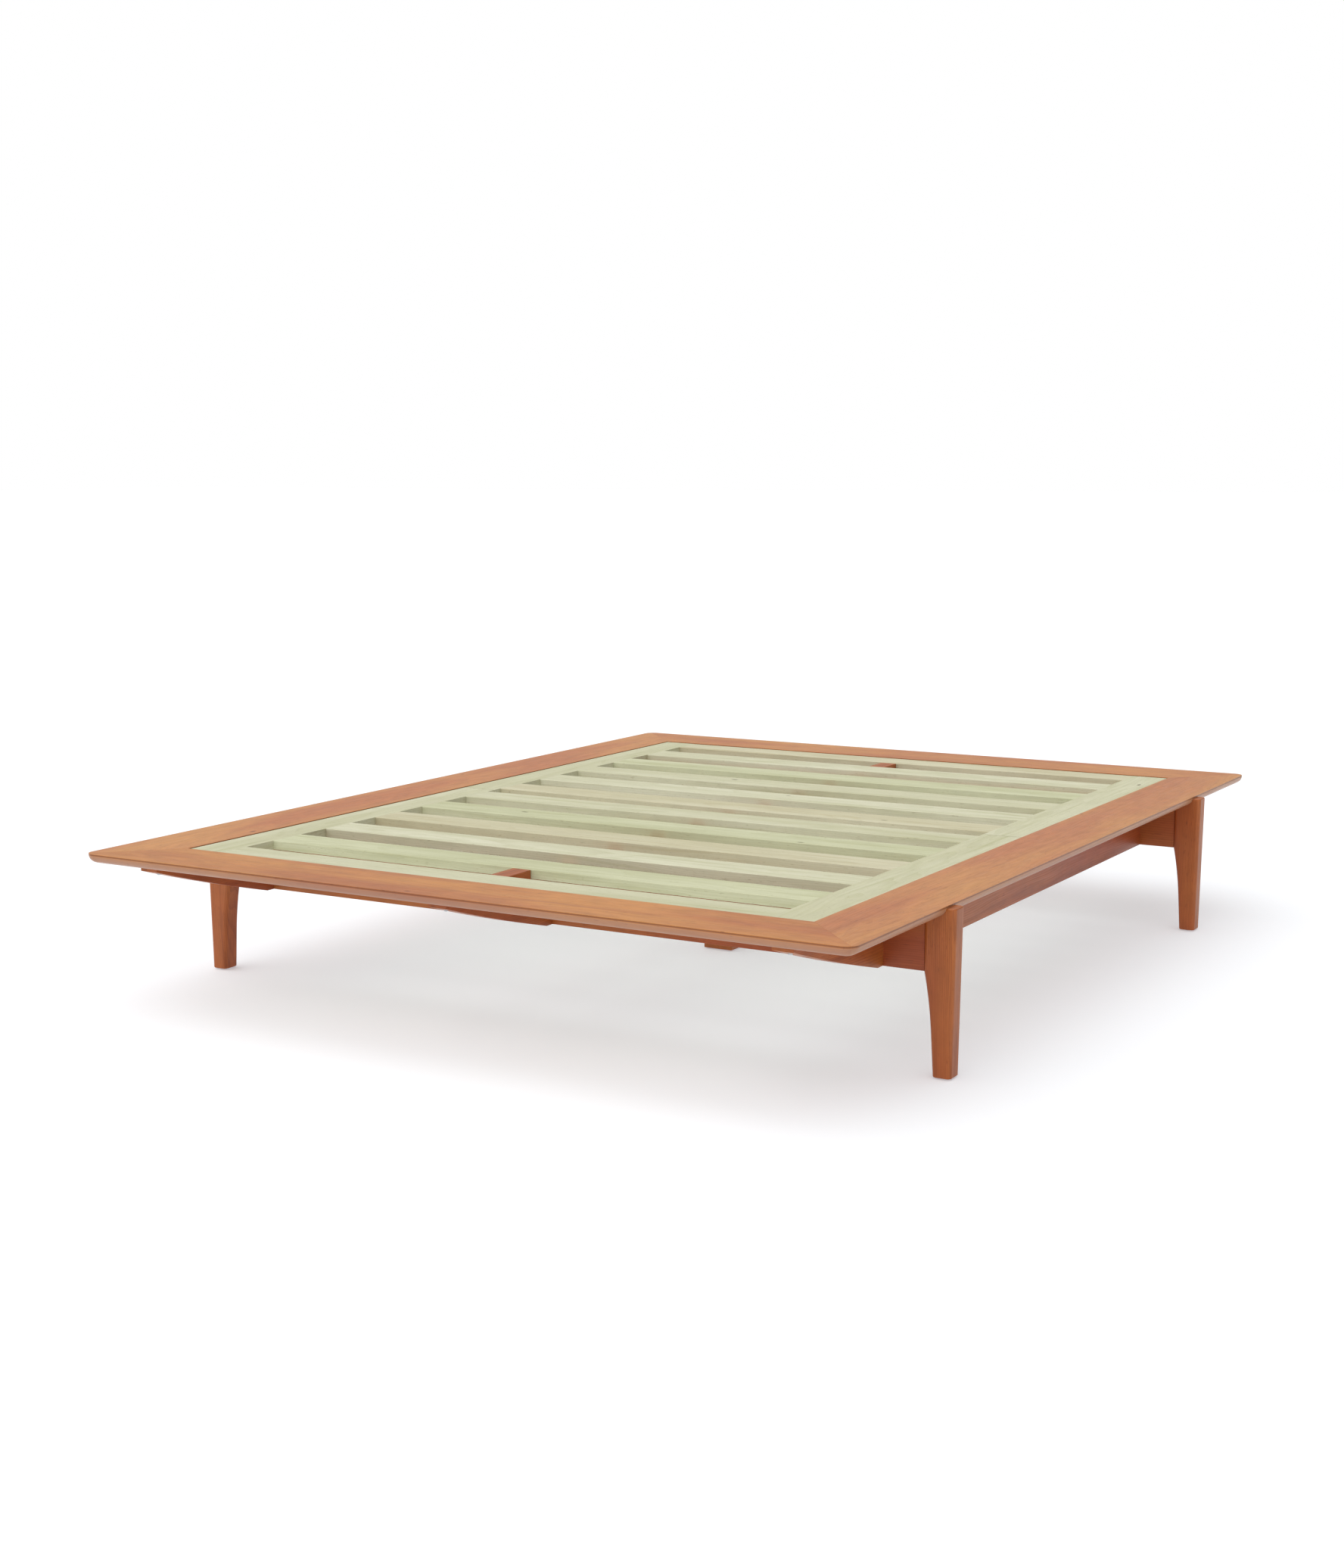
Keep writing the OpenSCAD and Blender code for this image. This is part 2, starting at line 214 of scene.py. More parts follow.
# %% [markdown]
# ## Solid timber
# Wood is the same pattern all through: growth rings about the pith, fibres along the grain, and
# slow changes of colour. So the pattern is worked out in the piece's own three directions, with X
# along the grain, and the rings are distances from a pith that lies below the board. A face cut
# along the trunk then shows flame figure and an end shows arcs, with no seam at the corners.
# The pattern is described by a short table for each timber, in millimetres.

# %% Sizes of the pattern
WAVE_PERIOD = 2 * math.pi / 20  # distance between rings of the Wave texture at scale 1
TURNS = {"X": (0, 0, 0), "Y": (0, 0, math.radians(90)), "Z": (0, math.radians(-90), 0)}


def per_metre(along_mm, across_mm):
    """Noise frequencies for features of this length along the grain and width across it."""
    return (1000 / along_mm, 1000 / across_mm, 1000 / across_mm)


# %% What each timber looks like
# Lengths and widths are in millimetres, along and across the grain. Cherry ages to a warm red
# brown with faint rings, soft clouds of figure, fine darker fibres, gum flecks and a few pin
# knots. Poplar sapwood is a greenish cream with olive streaks of heartwood, and beech an even
# pinkish tan. All fibres are drawn about three times as coarse as real ones, so that they show.
CHERRY = {
    "pale": "#C68848", "deep": "#B87140", "late": "#93502A", "streak": "#6A2F16", "knot": "#5A2A16",
    "ring": 3.8, "ring_strength": 0.17, "heart": (700, 22), "heart_strength": 0.24,
    "tone": (700, 130), "figure": (48, 24), "figure_contrast": 0.075,
    "fibre": (160, 2.2), "fibre_contrast": 0.025, "fleck": (16, 1.6), "fleck_strength": 0.6,
    "roughness": (0.34, 0.46), "coat": 0.08, "specular": 0.35, "bump": 0.10,
}
# The legs and rails take a deeper coloured cherry with straighter, bolder grain. The grain is the timber's
# own, but the deeper colour is partly painted shade, for pieces that stand below the frame and away from the
# light.
SHADE_DARKENED_CHERRY = dict(CHERRY, pale="#AD642D", deep="#9C4B24", late="#783617", ring_strength=0.34,
                   fibre_contrast=0.07, heart_strength=0.45, coat=0.0)
POPLAR = {
    "pale": "#CAC8AC", "deep": "#BFBD9D", "late": "#A5A577", "streak": "#7F744C", "knot": "#54492E",
    "ring": 4.5, "ring_strength": 0.20, "heart": (420, 16), "heart_strength": 0.42,
    "tone": (600, 60), "figure": (60, 20), "figure_contrast": 0.03,
    "fibre": (70, 1.8), "fibre_contrast": 0.035, "fleck": (12, 1.6), "fleck_strength": 0.4,
    "roughness": (0.58, 0.70), "coat": 0.0, "specular": 0.3, "bump": 0.16,
}
BEECH = dict(POPLAR, pale="#D8B488", deep="#CFA67A", late="#B98C60", streak="#8A5E38", ring=2.5)
# Slats come from several boards: greenish cream, whiter sapwood, olive, and tan near the heart.
SLAT_TINTS = ({}, {"pale": "#D1CFB5", "deep": "#C6C4A7"}, {"pale": "#C7C8A7", "deep": "#BBBC98"},
              {"pale": "#CBC6AA", "deep": "#C0BA9A", "late": "#A89A6E"})


# %% Pin knots
KNOT_SPACING = (260, 110)  # millimetres between pin knots, along and across the grain
KNOT_SIZE = 2.2 / KNOT_SPACING[1]  # a knot's radius of 2.2 mm as a share of that spacing
KNOT_FADE = 2.6 * KNOT_SIZE  # radius at which the dark ring round a knot has gone


# %% Painted sheen and shade on the edge of a routed board
def paint_edge_sheen_and_shade(material, here, surface, tones):
    """Mixes each tone of painted light in between its two heights, and fades it out towards both of them."""
    height = add(material, "ShaderNodeSeparateXYZ", {0: here}).outputs["Z"]
    for tone in tones:
        low, high, fade = tone["low"], tone["high"], tone["fade"]
        rise = add(material, "ShaderNodeMapRange",
                   {0: height, 1: low, 2: low + fade, 3: 0.0, 4: tone["strength"]})
        fall = add(material, "ShaderNodeMapRange",
                   {0: height, 1: high - fade, 2: high, 3: tone["strength"], 4: 0.0})
        share = add(material, "ShaderNodeMath", {0: rise.outputs[0], 1: fall.outputs[0]},
                    operation="MINIMUM")
        surface = add(material, "ShaderNodeMix",
                      {0: share.outputs[0], 6: surface, 7: colour(tone["colour"])},
                      data_type="RGBA").outputs[2]
    return surface


# %% How a log grows
# The rings wander in long waves and waver in short ones. The first pair of each line is how long
# the waves are along and across the grain, in millimetres, and the second how far they move the
# rings along each axis, in metres.
SLOW_DRIFT, DRIFT = (600, 140), (0, 0.025, 0.050)
QUICK_DRIFT, WOBBLE = (220, 30), (0, 0.0030, 0.0030)
DETAIL = {"tone": 2.0, "heart": 3.0, "figure": 2.0, "fibre": 2.0, "fleck": 0.0}  # finer octaves


# %% The timber material
def timber(name, look, along, centre, pith, painted_edge_light=()):
    """Solid wood for one piece: grain along an axis, rings about a pith at that offset from centre."""
    made = new_material(name)
    here = add(made, "ShaderNodeTexCoord").outputs["Object"]
    placed = add(made, "ShaderNodeMapping", {"Vector": here, "Location": centre, "Rotation": TURNS[along]},
                 vector_type="TEXTURE").outputs[0]
    board = add(made, "ShaderNodeVectorMath", {0: placed, 1: pith}, operation="ADD").outputs[0]

    slow = add(made, "ShaderNodeVectorMath", {0: board, 1: per_metre(*SLOW_DRIFT)}, operation="MULTIPLY")
    drift = add(made, "ShaderNodeTexNoise", {"Vector": slow.outputs[0], "Scale": 1.0, "Detail": 2.0})
    quick = add(made, "ShaderNodeVectorMath", {0: board, 1: per_metre(*QUICK_DRIFT)}, operation="MULTIPLY")
    wobble = add(made, "ShaderNodeTexNoise", {"Vector": quick.outputs[0], "Scale": 1.0, "Detail": 1.0})
    drifted = add(made, "ShaderNodeVectorMath", {0: drift.outputs["Color"], 1: DRIFT, 2: board},
                  operation="MULTIPLY_ADD")
    grown = add(made, "ShaderNodeVectorMath",
                {0: wobble.outputs["Color"], 1: WOBBLE, 2: drifted.outputs[0]},
                operation="MULTIPLY_ADD").outputs[0]
    rings = add(made, "ShaderNodeTexWave", {"Vector": grown, "Scale": WAVE_PERIOD / (look["ring"] * MM)},
                wave_type="RINGS", rings_direction="X", wave_profile="SAW")

    noises = {}
    for feature, detail in DETAIL.items():
        stretched = add(made, "ShaderNodeVectorMath", {0: grown, 1: per_metre(*look[feature])},
                        operation="MULTIPLY")
        noise = add(made, "ShaderNodeTexNoise",
                    {"Vector": stretched.outputs[0], "Scale": 1.0, "Detail": detail, "Roughness": 0.5})
        noises[feature] = noise.outputs["Fac"]

    tone = add(made, "ShaderNodeValToRGB", {0: noises["tone"]},
               stops=[(0.36, colour(look["pale"])), (0.64, colour(look["deep"]))])
    late = add(made, "ShaderNodeMapRange", {0: rings.outputs["Fac"], 1: 0.45, 2: 1.0, 3: 0.0,
                                            4: look["ring_strength"]}, interpolation_type="SMOOTHSTEP")
    ringed = add(made, "ShaderNodeMix", {0: late.outputs[0], 6: tone.outputs[0], 7: colour(look["late"])},
                 data_type="RGBA")
    heart = add(made, "ShaderNodeMapRange", {0: noises["heart"], 1: 0.52, 2: 0.74, 3: 0.0,
                                             4: look["heart_strength"]}, interpolation_type="SMOOTHSTEP")
    hearted = add(made, "ShaderNodeMix", {0: heart.outputs[0], 6: ringed.outputs[2], 7: colour(look["late"])},
                  data_type="RGBA")
    lit = hearted.outputs[2]
    for feature in ("fibre", "figure"):
        contrast = look[f"{feature}_contrast"]
        bright = add(made, "ShaderNodeMapRange", {0: noises[feature], 1: 0.30, 2: 0.70,
                                                  3: 1 - contrast, 4: 1 + contrast})
        lit = add(made, "ShaderNodeVectorMath", {0: lit, 3: bright.outputs[0]}, operation="SCALE").outputs[0]
    fleck = add(made, "ShaderNodeMapRange", {0: noises["fleck"], 1: 0.72, 2: 0.84, 3: 0.0,
                                             4: look["fleck_strength"]})
    flecked = add(made, "ShaderNodeMix",
                  {0: fleck.outputs[0], 6: lit, 7: colour(look["streak"])}, data_type="RGBA")
    spread = add(made, "ShaderNodeVectorMath", {0: grown, 1: per_metre(*KNOT_SPACING)}, operation="MULTIPLY")
    distance = add(made, "ShaderNodeTexVoronoi", {"Vector": spread.outputs[0], "Scale": 1.0})
    near = add(made, "ShaderNodeMapRange", {0: distance.outputs["Distance"], 1: KNOT_SIZE, 2: KNOT_FADE,
                                            3: 0.85, 4: 0.0}, interpolation_type="SMOOTHSTEP")
    knotted = add(made, "ShaderNodeMix",
                  {0: near.outputs[0], 6: flecked.outputs[2], 7: colour(look["knot"])}, data_type="RGBA")
    # painted light on the routed edge: a pale sheen on the under-bevel and a dark shade under the arris
    surface = paint_edge_sheen_and_shade(made, here, knotted.outputs[2], painted_edge_light)

    low, high = look["roughness"]
    rough = add(made, "ShaderNodeMapRange", {0: noises["fibre"], 1: 0.3, 2: 0.7, 3: high, 4: low})
    bump = add(made, "ShaderNodeBump",
               {"Height": noises["fibre"], "Strength": look["bump"], "Distance": 0.4 * MM})
    shader = add(made, "ShaderNodeBsdfPrincipled", {
        "Base Color": surface, "Roughness": rough.outputs[0], "Normal": bump.outputs[0],
        "IOR": 1.5, "Specular IOR Level": look["specular"], "Coat Weight": look["coat"],
        "Coat Roughness": 0.22})
    add(made, "ShaderNodeOutputMaterial", {0: shader.outputs[0]})
    return made


# %% Timber for one node
CUT_APART = 0.61  # metres along the log from one cut to the next
PITH_ASIDE = 0.045  # how far to either side of a piece its pith may lie
PITH_BELOW, PITH_VARIES = 0.085, 0.035  # depth of the pith under a piece, and how much it varies
cuts_made = 0


def timber_for(node, look, label, along, painted_edge_light=()):
    """Timber for a node's box, sawn from its own place in the log so that no two pieces match."""
    global cuts_made
    cuts_made += 1
    low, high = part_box(node)
    aside = PITH_ASIDE * math.sin(2.3 * cuts_made)
    below = PITH_BELOW + PITH_VARIES * math.sin(1.7 * cuts_made)
    return timber(f"{label}, {node.replace('_', ' ')}", look, along, (low + high) / 2,
                  (CUT_APART * cuts_made, aside, below), painted_edge_light)


# %% [markdown]
# ## The mitred top frame
# Four boards with their ends cut at 45 degrees. The profile runs round all four: a flat top, a
# soft arris, a narrow upright band and a long rounded under-bevel that makes the edge look thin.
# One slab of the whole outline gets that profile with insets, so it turns the corners as a router
# would, and each board is then cut out of it with three bisecting planes.

# %% Frame sizes
board_low, board_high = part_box("foot_frame_board")
edge_x, edge_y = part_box("right_frame_board")[1].x, -board_low.y
open_x, open_y = -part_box("left_frame_board")[1].x, -board_high.y
seat_z, frame_top = board_low.z, board_high.z
corner_radius = 26 * MM
band_height = 3 * MM
bevel_reach = 24 * MM
bevel_height = frame_top - seat_z - band_height
arris = 1.2 * MM
print(f"frame boards: {1000 * (edge_x - open_x):.0f} mm wide, {1000 * (frame_top - seat_z):.0f} mm thick")


# %% The profiled slab
def profiled_slab(steps=10):
    """The whole outline as one slab with the arris, the band and the rounded under-bevel."""
    bm = bmesh.new()
    bmesh.ops.create_grid(bm, x_segments=1, y_segments=1, size=1)
    bmesh.ops.scale(bm, vec=(edge_x, edge_y, 1), verts=bm.verts)
    bmesh.ops.translate(bm, vec=(0, 0, frame_top), verts=bm.verts)
    bmesh.ops.bevel(bm, geom=list(bm.verts), offset=corner_radius, offset_type="OFFSET", segments=10,
                    profile=0.5, affect="VERTICES", material=-1)
    bmesh.ops.recalc_face_normals(bm, faces=bm.faces)
    pushed = bmesh.ops.extrude_face_region(bm, geom=list(bm.faces))["geom"]
    bottom = next(f for f in pushed if isinstance(f, bmesh.types.BMFace))
    bmesh.ops.translate(bm, vec=(0, 0, -band_height), verts=bottom.verts)
    for step in range(steps):
        a, b = (math.pi / 2 * (step + s) / steps for s in (0, 1))
        inset = bevel_reach * (math.cos(a) - math.cos(b))
        drop = bevel_height * (math.sin(b) - math.sin(a))
        bmesh.ops.inset_region(bm, faces=[bottom], thickness=inset, use_boundary=True, use_even_offset=True)
        bmesh.ops.translate(bm, vec=(0, 0, -drop), verts=bottom.verts)
    return ease(bm, arris, 3, lambda e: all(abs(v.co.z - frame_top) < SAME for v in e.verts), 60)


# %% One board out of the slab
inner_arris = 1.0 * MM
mitre_arris = 0.35 * MM
LONG = 100 * MM  # edges longer than this run the length of a board


def on_mitre(face):
    """True for a face whose normal lies at 45 degrees in plan."""
    return abs(face.normal.x * face.normal.y) > 0.45


def cut_board(across, side):
    """Keeps the quarter of the slab on one side: across is the board's short axis, 0 or 1."""
    bm = profiled_slab()
    outward = Vector((side, 0, 0)) if across == 0 else Vector((0, side, 0))
    sideways = Vector((0, 1, 0)) if across == 0 else Vector((1, 0, 0))
    corner = Vector((open_x * outward.x, open_y * outward.y, 0))
    half = open_y if across == 0 else open_x
    planes = [(corner, -outward)]
    planes += [(corner + sideways * half * s, sideways * s - outward) for s in (-1, 1)]
    for point, normal in planes:
        geometry = list(bm.verts) + list(bm.edges) + list(bm.faces)
        cut = bmesh.ops.bisect_plane(bm, geom=geometry, dist=1e-7, plane_co=point, plane_no=normal,
                                     clear_outer=True)["geom_cut"]
        bmesh.ops.edgenet_fill(bm, edges=[e for e in cut if isinstance(e, bmesh.types.BMEdge)])
    bmesh.ops.recalc_face_normals(bm, faces=bm.faces)
    inner = outward.dot(corner)
    ease(bm, inner_arris, 2, lambda e: all(abs(outward.dot(v.co) - inner) < SAME for v in e.verts)
         and abs(sideways.dot(e.verts[0].co - e.verts[1].co)) > LONG, 60)
    ease(bm, mitre_arris, 1, lambda e: 0 < sum(map(on_mitre, e.link_faces)) < len(e.link_faces), 30)
    return bm


# %% The draw bolts' pockets
pocket_depth = 13 * MM
pocket_radius = 15 * MM
pocket_reach = 35 * MM
slot_half = 4 * MM


def cut_pockets(bm, across, side):
    """Round wells and a slot under each mitre, for the bolts that pull the joint together."""
    middle_x, middle_y = (open_x + edge_x) / 2, (open_y + edge_y) / 2
    for s in (-1, 1):
        x, y = (side * middle_x, s * middle_y) if across == 0 else (s * middle_x, side * middle_y)
        toward = Vector((math.copysign(1, x), -math.copysign(1, y), 0)).normalized()
        toward *= 1 if across == 0 else -1
        well = Vector((x, y, 0)) + toward * pocket_reach
        bm = carve(bm, round_tool(well.x, well.y, seat_z - MM, seat_z + pocket_depth, pocket_radius))
        slot = block((-pocket_reach, -slot_half, seat_z - MM),
                     (pocket_reach, slot_half, seat_z + pocket_depth))
        turn = Matrix.Rotation(math.atan2(toward.y, toward.x), 4, "Z")
        bmesh.ops.transform(slot, matrix=Matrix.Translation((x, y, 0)) @ turn, verts=slot.verts)
        bm = carve(bm, slot)
    return bm


# %% Four mitred boards
# The under-bevel gets a painted pale, greyish sheen, and the band above it a painted dark shade just under
# the arris, where the lamps give a highlight.
EDGE_SHEEN_AND_SHADE = (
    {"low": seat_z, "high": frame_top - 3 * MM, "fade": 3 * MM, "colour": "#9E7968", "strength": 0.6},
    {"low": frame_top - 4.5 * MM, "high": frame_top - 0.2 * MM, "fade": 1.2 * MM, "colour": "#6E3A22",
     "strength": 0.75},
)
# No two boards are the same colour, so the mitres show as a change of tone.
BOARD_TINTS = {
    "foot_frame_board": {"pale": "#C58443", "deep": "#AC6336", "heart_strength": 0.32},
    "head_frame_board": {},
    "left_frame_board": {"pale": "#C98B4D", "deep": "#BA7243"},
    "right_frame_board": {"pale": "#C4874B", "deep": "#B87244", "fleck_strength": 0.6},
}

for node, across, side in (("foot_frame_board", 1, -1), ("head_frame_board", 1, 1),
                           ("left_frame_board", 0, -1), ("right_frame_board", 0, 1)):
    board = cut_pockets(cut_board(across, side), across, side)
    grain = "X" if across == 1 else "Y"
    tinted = dict(CHERRY, **BOARD_TINTS[node])
    finish_piece(f"mitred_{node}", board, timber_for(node, tinted, "lacquered cherry", grain, EDGE_SHEEN_AND_SHADE),
                 "cherry_frame", node)

# %% [markdown]
# ## The legs
# Each leg is one piece of cherry. Its outer face leans out slightly, its inner face tapers to the
# foot and flares into a shoulder for the beam. On the real leg a notch at the top takes the frame's
# edge, so that the leg's head stands proud of the frame. The side outline is sawn first, the upright
# corners are rounded, and the joints are cut last. The cut for the notch uses the frame's own profile
# and a hair of clearance, but the Boolean takes nothing away with it, so here the frame's edge runs
# into the leg. The frame covers most of that overlap.

# %% Leg sizes
leg_low, leg_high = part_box("foot_right_leg")
base_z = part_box("foot_cross_beam")[0].z
leg_thick = leg_high.y - leg_low.y
shoulder = edge_x - leg_low.x
leg_head = 19 * MM
foot_out = 12 * MM
foot_in = 27 * MM
taper = 0.055
flare_z = 0.43 * base_z
upright_radius = 9 * MM
notch_gap = 1 * MM
end_radius = 2.5 * MM
# The beam's tenon is 6.5 mm longer than this mortise is deep, so its end runs into the leg, unseen.
mortise_half, mortise_inset, mortise_depth = 6 * MM, 15 * MM, 25 * MM
print(f"leg: {1000 * leg_thick:.0f} mm thick, shoulder {1000 * shoulder:.0f} mm in from the edge")


# %% The leg's side outline
def leg_outline(steps=10):
    """Points of the right-hand leg's side view, from the foot round by the inner face."""
    flare = shoulder - foot_in - taper * base_z
    outline = [(edge_x + foot_out, leg_low.z), (edge_x - foot_in, leg_low.z)]
    for step in range(steps + 1):
        s = step / steps
        z = flare_z + (base_z - flare_z) * s
        outline.append((edge_x - foot_in - taper * z - flare * s * s, z))
    outline += [(edge_x - shoulder, leg_high.z), (edge_x + leg_head, leg_high.z)]
    return outline


# %% The notch tool
def notch_tool(steps=12):
    """The frame's profile grown by the scribe gap, open to the top and to the inside."""
    outline = [(edge_x + notch_gap, leg_high.z + MM)]
    for step in range(steps + 1):
        a = math.pi / 2 * step / steps
        outline.append((edge_x - bevel_reach * (1 - math.cos(a)) + notch_gap * math.cos(a),
                        seat_z + bevel_height * (1 - math.sin(a))))
    outline += [(edge_x - 2 * shoulder, seat_z), (edge_x - 2 * shoulder, leg_high.z + MM)]
    return sawn([(x, -leg_thick, z) for x, z in outline], (0, 2 * leg_thick, 0))


# %% One leg
def shaped_leg(x_side, y):
    """A leg at either side of the bed, with its middle at y."""
    half = leg_thick / 2
    bm = sawn([(x, -half, z) for x, z in leg_outline()], (0, leg_thick, 0))
    ease(bm, upright_radius, 6, lambda e: abs(e.verts[0].co.y - e.verts[1].co.y) < SAME
         and abs(e.verts[0].co.z - e.verts[1].co.z) > SAME, 60)
    ease(bm, end_radius, 3, lambda e: any(all(abs(v.co.z - z) < SAME for v in e.verts)
                                          for z in (leg_low.z, leg_high.z)), 45)
    bm = carve(bm, notch_tool())  # leaves the leg whole, as said above
    mortise_low = (edge_x - shoulder - MM, -mortise_half, base_z + mortise_inset)
    mortise_high = (edge_x - shoulder + mortise_depth, mortise_half, seat_z - mortise_inset)
    bm = carve(bm, block(mortise_low, mortise_high))
    ease(bm, 0.4 * MM, 1, lambda e: all(v.co.z > seat_z - MM and v.co.x > edge_x - bevel_reach
                                        for v in e.verts), 60)
    bmesh.ops.scale(bm, vec=(x_side, 1, 1), verts=bm.verts)
    bmesh.ops.translate(bm, vec=(0, y, 0), verts=bm.verts)
    return bm


# %% Four legs
for node in ("foot_left_leg", "foot_right_leg", "head_left_leg", "head_right_leg"):
    x_side = -1 if "left" in node else 1
    low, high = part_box(node)
    finish_piece(f"shaped_{node}", shaped_leg(x_side, (low.y + high.y) / 2),
                 timber_for(node, SHADE_DARKENED_CHERRY, "lacquered cherry", "Z"), "cherry_base", node)

# %% [markdown]
# ## Beams and rails
# Two cross beams join the legs in pairs, and three long rails lie across them. Where they cross,
# each is halved: half the depth is cut from the beam's top and half from the rail's underside.
# The rails sweep up to thin tips under the frame's ends, which keeps them out of sight.

# %% Where the screws go
def solids_of(node):
    """The boxes of the separate solids in a node that holds several."""
    bm = bmesh.new()
    bm.from_mesh(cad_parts[node].data)
    bmesh.ops.remove_doubles(bm, verts=bm.verts, dist=0.01 * MM)
    left, boxes = set(bm.verts), []
    while left:
        island, edge = set(), {left.pop()}
        while edge:
            island |= edge
            edge = {other for v in edge for e in v.link_edges for other in e.verts} - island
        left -= island
        boxes.append([Vector(f(v.co[i] for v in island) for i in range(3)) for f in (min, max)])
    bm.free()
    return boxes


screws = solids_of("frame_screws")
screw_head_z = screws[0][0].z
screw_head_thick = 3.5 * MM
print(len(screws), "frame screws, heads at", round(screw_head_z, 4), "m")


# %% Wells for the screw heads
def cut_wells(bm, node):
    """A well from below for every screw that passes through this node."""
    low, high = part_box(node)
    for screw_low, screw_high in screws:
        x, y = (screw_low.x + screw_high.x) / 2, (screw_low.y + screw_high.y) / 2
        if low.x < x < high.x and low.y < y < high.y:
            radius = (screw_high.x - screw_low.x) / 2 + 0.4 * MM
            bm = carve(bm, round_tool(x, y, low.z - MM, screw_head_z + screw_head_thick, radius, 20))
    return bm


# %% A halved cross beam
rail_nodes = ("left_long_rail", "centre_long_rail", "right_long_rail")
beam_nodes = ("foot_cross_beam", "head_cross_beam")
lap_z = (base_z + seat_z) / 2
cheek_cut, tenon_cut = 10 * MM, 15 * MM  # the tenon's shoulders at its cheeks, and above and below it
under_arris = 0.9 * MM


def cross_beam(node):
    """A beam with a notch in its top for each rail and a tenon at each end."""
    low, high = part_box(node)
    end = edge_x - shoulder
    outline = [(-end, low.z), (end, low.z), (end, high.z)]
    for rail in reversed(rail_nodes):
        rail_low, rail_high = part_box(rail)
        outline += [(rail_high.x, high.z), (rail_high.x, lap_z), (rail_low.x, lap_z), (rail_low.x, high.z)]
    outline.append((-end, high.z))
    bm = sawn([(x, low.y, z) for x, z in outline], (0, high.y - low.y, 0))
    ends = [f for f in bm.faces if abs(f.normal.x) > 0.9 and abs(abs(f.calc_center_median().x) - end) < 1e-5]
    for face in ends:
        side = math.copysign(1, face.normal.x)
        bmesh.ops.inset_region(bm, faces=[face], thickness=cheek_cut, use_even_offset=True)
        shrink = ((high.z - low.z) / 2 - tenon_cut) / ((high.z - low.z) / 2 - cheek_cut)
        about = Matrix.Translation(-face.calc_center_median())
        bmesh.ops.scale(bm, vec=(1, 1, shrink), space=about, verts=face.verts)
        tenon = bmesh.ops.extrude_discrete_faces(bm, faces=[face])["faces"][0]
        bmesh.ops.translate(bm, vec=(side * (high.x - end), 0, 0), verts=tenon.verts)
    ease(bm, under_arris, 2, lambda e: abs(e.verts[0].co.x - e.verts[1].co.x) > LONG
         and all(v.co.z < low.z + SAME for v in e.verts), 60)
    return cut_wells(bm, node)


for node in beam_nodes:
    finish_piece(f"halved_{node}", cross_beam(node), timber_for(node, SHADE_DARKENED_CHERRY, "lacquered cherry", "X"),
                 "cherry_base", node)

# %% A swept long rail
tip_depth = 10 * MM
sweep_run = 37 * MM
sweep_sag = 3 * MM


def long_rail(node, steps=14):
    """A rail with a swept underside at both ends and a notch over each beam."""
    low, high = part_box(node)
    beam_y = sum(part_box("head_cross_beam")[i].y for i in (0, 1)) / 2
    sweep_y = beam_y + sweep_run
    beams = [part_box(beam) for beam in beam_nodes]
    swept = []
    for step in range(steps + 1):
        s = step / steps
        z = base_z + (seat_z - tip_depth - base_z) * s - 4 * sweep_sag * s * (1 - s)
        if z >= base_z:
            swept.append((sweep_y + (high.y - sweep_y) * s, z))
    outline = [(high.y, seat_z), (-high.y, seat_z)] + [(-y, z) for y, z in reversed(swept)]
    for beam_low, beam_high in beams:
        outline += [(beam_low.y, base_z), (beam_low.y, lap_z), (beam_high.y, lap_z), (beam_high.y, base_z)]
    bm = sawn([(low.x, y, z) for y, z in outline + swept], (high.x - low.x, 0, 0))
    ease(bm, under_arris, 2, lambda e: abs(e.verts[0].co.x - e.verts[1].co.x) < SAME
         and all(v.co.z < seat_z - MM for v in e.verts)
         and abs(e.verts[0].co.y - e.verts[1].co.y) > SAME, 60)
    return cut_wells(bm, node)


for node in rail_nodes:
    finish_piece(f"swept_{node}", long_rail(node), timber_for(node, SHADE_DARKENED_CHERRY, "lacquered cherry", "Y"),
                 "cherry_base", node)

# %% [markdown]
# ## Locating blocks and the centre leg
# Two small cherry blocks stand in the first gap of the deck at each end and stop it sliding. The
# centre leg is a plain post with a slot that straddles the centre rail, bolted through its cheeks.

# %% Blocks
for node in ("foot_locating_block", "head_locating_block"):
    finish_piece(f"eased_{node}", ease(block(*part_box(node)), 1.2 * MM, 3),
                 timber_for(node, SHADE_DARKENED_CHERRY, "lacquered cherry", "Y"), "cherry_base", node)

# %% Centre leg
post_low, post_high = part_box("centre_leg")
rail_low, rail_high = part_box("centre_long_rail")
post_outline = [(post_low.x, post_low.z), (post_high.x, post_low.z), (post_high.x, post_high.z),
                (rail_high.x, post_high.z), (rail_high.x, base_z), (rail_low.x, base_z),
                (rail_low.x, post_high.z), (post_low.x, post_high.z)]
post = sawn([(x, post_low.y, z) for x, z in post_outline], (0, post_high.y - post_low.y, 0))
ease(post, 2.0 * MM, 3, lambda e: not any(abs(v.co.x) < rail_high.x + 1e-5 for v in e.verts))
finish_piece("slotted_centre_leg", post, timber_for("centre_leg", SHADE_DARKENED_CHERRY, "lacquered cherry", "Z"),
             "cherry_base", "centre_leg")

# %% [markdown]
# ## The slat deck
# The deck is made in two halves like two ladders, so that it can be carried in. Six slats are
# tenoned into two stiles. The slats' long edges are eased, because the mattress lies on them, and
# the shoulders are left crisp so that the joints close up and hardly show.

# %% Slats
slat_nodes = [f"slat_{n:02d}" for n in range(1, 13)]
stile_nodes = ("foot_left_stile", "foot_right_stile", "head_left_stile", "head_right_stile")
stile_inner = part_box("foot_right_stile")[0].x
tenon_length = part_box("slat_01")[1].x - stile_inner
shoulder_cut = 6 * MM
slat_arris, stile_arris = 1.3 * MM, 0.8 * MM
mortise_room = 0.5 * MM  # room for glue past the end of a tenon


